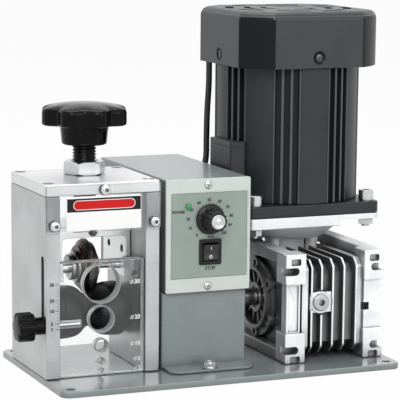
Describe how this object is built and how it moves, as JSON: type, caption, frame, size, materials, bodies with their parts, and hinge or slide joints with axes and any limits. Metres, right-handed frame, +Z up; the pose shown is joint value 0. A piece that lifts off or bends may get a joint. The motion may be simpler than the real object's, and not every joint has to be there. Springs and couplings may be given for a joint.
{
  "type": "wire stripping machine",
  "caption": "Bench machine with a clear hole guide, toothed feed roller, round blade on a height screw, control box with speed dial, and a worm gearbox with an upright motor.",
  "frame": {"origin": "centre of the base plate's underside", "axes": "+X to the operator's right, from the cutting head to the gearbox; +Y away from the operator, the way the wire is fed; +Z up"},
  "size_m": [0.3298, 0.2103, 0.2894],
  "materials": {
    "base_paint": "semi-gloss grey paint",
    "cover_paint": "blue-grey paint",
    "bezel_paint": "pale grey-green paint",
    "panel_paint": "sage matt paint",
    "motor_paint": "black satin paint",
    "head_aluminium": "brushed",
    "cast_aluminium": "as cast",
    "dark_casting": "dark casting",
    "bright_steel": "ground",
    "dark_steel": "blackened and oiled",
    "blade_steel": "ground tool steel",
    "zinc": "zinc plated",
    "knob_plastic": "glossy black",
    "black_plastic": "matt black",
    "clear_acrylic": "clear polished acrylic",
    "label_film": "printed film with plain blocks",
    "lamp_green": "green lens",
    "circuit_board": "green board",
    "bronze": "machined",
    "cable_sheath": "black sheath"
  },
  "bodies": {
    "frame": {"base_plate": "base_paint", "left_side_plate": "head_aluminium", "right_side_plate": "head_aluminium", "top_plate": "head_aluminium", "top_plate_screw_1": "dark_steel", "top_plate_screw_2": "dark_steel", "top_plate_screw_3": "dark_steel", "top_plate_screw_4": "dark_steel", "guard_plate": "clear_acrylic", "guard_label": "label_film", "guard_screw_1": "bright_steel", "guard_screw_2": "bright_steel", "guard_screw_3": "bright_steel", "height_nut": "zinc", "drive_cover": "cover_paint", "cover_bolt": "zinc", "control_box": "cover_paint", "cord_gland": "black_plastic", "control_bezel": "bezel_paint", "control_panel": "panel_paint", "bezel_screw_1": "zinc", "bezel_screw_2": "zinc", "speed_potentiometer": "bright_steel", "speed_board": "circuit_board", "power_switch": "black_plastic", "power_lamp": "lamp_green", "gearbox_housing": "cast_aluminium", "output_cover": "dark_casting", "oil_plug": "zinc", "input_flange": "cast_aluminium", "adapter_plate": "head_aluminium", "motor_flange": "motor_paint", "motor_bolt_1": "zinc", "motor_bolt_2": "zinc", "motor_bolt_3": "zinc", "motor_bolt_4": "zinc", "motor_body": "motor_paint", "fan_cover": "motor_paint", "terminal_box": "motor_paint", "motor_cable": "cable_sheath"},
    "carrier": {"blade_carrier": "head_aluminium"},
    "height_knob": {"height_screw": "dark_steel", "star_knob": "knob_plastic"},
    "blade": {"cutting_blade": "blade_steel", "blade_axle": "bright_steel", "blade_collar_left": "dark_steel", "blade_collar_right": "dark_steel"},
    "guide": {"guide_plate": "clear_acrylic"},
    "guide_lock": {"guide_lock_knob": "knob_plastic", "guide_lock_stud": "bright_steel"},
    "drive": {"feed_roller": "dark_steel", "drive_shaft": "bright_steel", "worm_wheel": "bronze"},
    "motor_rotor_set": {"motor_rotor": "bright_steel", "worm": "bright_steel", "cooling_fan": "black_plastic"},
    "speed_dial": {"speed_knob": "black_plastic", "speed_knob_cap": "bright_steel"},
    "rocker": {"power_rocker": "knob_plastic"}
  },
  "joints": [
    {"name": "blade_height", "type": "slide", "parent": "frame", "child": "carrier", "axis": [0, 0, 1], "range_m": [0, 0.028]},
    {"name": "height_knob_turn", "type": "hinge", "parent": "carrier", "child": "height_knob", "pos_m": [-0.0953, 0.016, 0.1604], "axis": [0, 0, 1], "range_deg": [0, 4032.5]},
    {"name": "blade_spin", "type": "hinge", "parent": "carrier", "child": "blade", "pos_m": [-0.0953, 0.016, 0.0848], "axis": [1, 0, 0], "continuous": true},
    {"name": "guide_height", "type": "slide", "parent": "frame", "child": "guide", "axis": [0, 0, 1], "range_m": [0, 0.052]},
    {"name": "guide_lock_turn", "type": "hinge", "parent": "guide", "child": "guide_lock", "pos_m": [-0.1466, -0.031, 0.0479], "axis": [1, 0, 0], "range_deg": [0, 540]},
    {"name": "motor_spin", "type": "hinge", "parent": "frame", "child": "motor_rotor_set", "pos_m": [0.0979, 0.0459, 0.0485], "axis": [0, 0, 1], "continuous": true},
    {"name": "drive_spin", "type": "hinge", "parent": "frame", "child": "drive", "pos_m": [-0.0953, 0.016, 0.0485], "axis": [1, 0, 0], "continuous": true},
    {"name": "speed_dial_turn", "type": "hinge", "parent": "frame", "child": "speed_dial", "pos_m": [-0.0075, -0.0382, 0.1266], "axis": [0, 1, 0], "range_deg": [-258, 42]},
    {"name": "rocker_tilt", "type": "hinge", "parent": "frame", "child": "rocker", "pos_m": [-0.0061, -0.038, 0.1], "axis": [1, 0, 0], "range_deg": [-14, 0]}
  ],
  "couplings": [
    {"joint": "height_knob_turn", "follows": "blade_height", "rad_per_m": 2513.3},
    {"joint": "drive_spin", "follows": "motor_spin", "ratio": 0.033333}
  ]
}
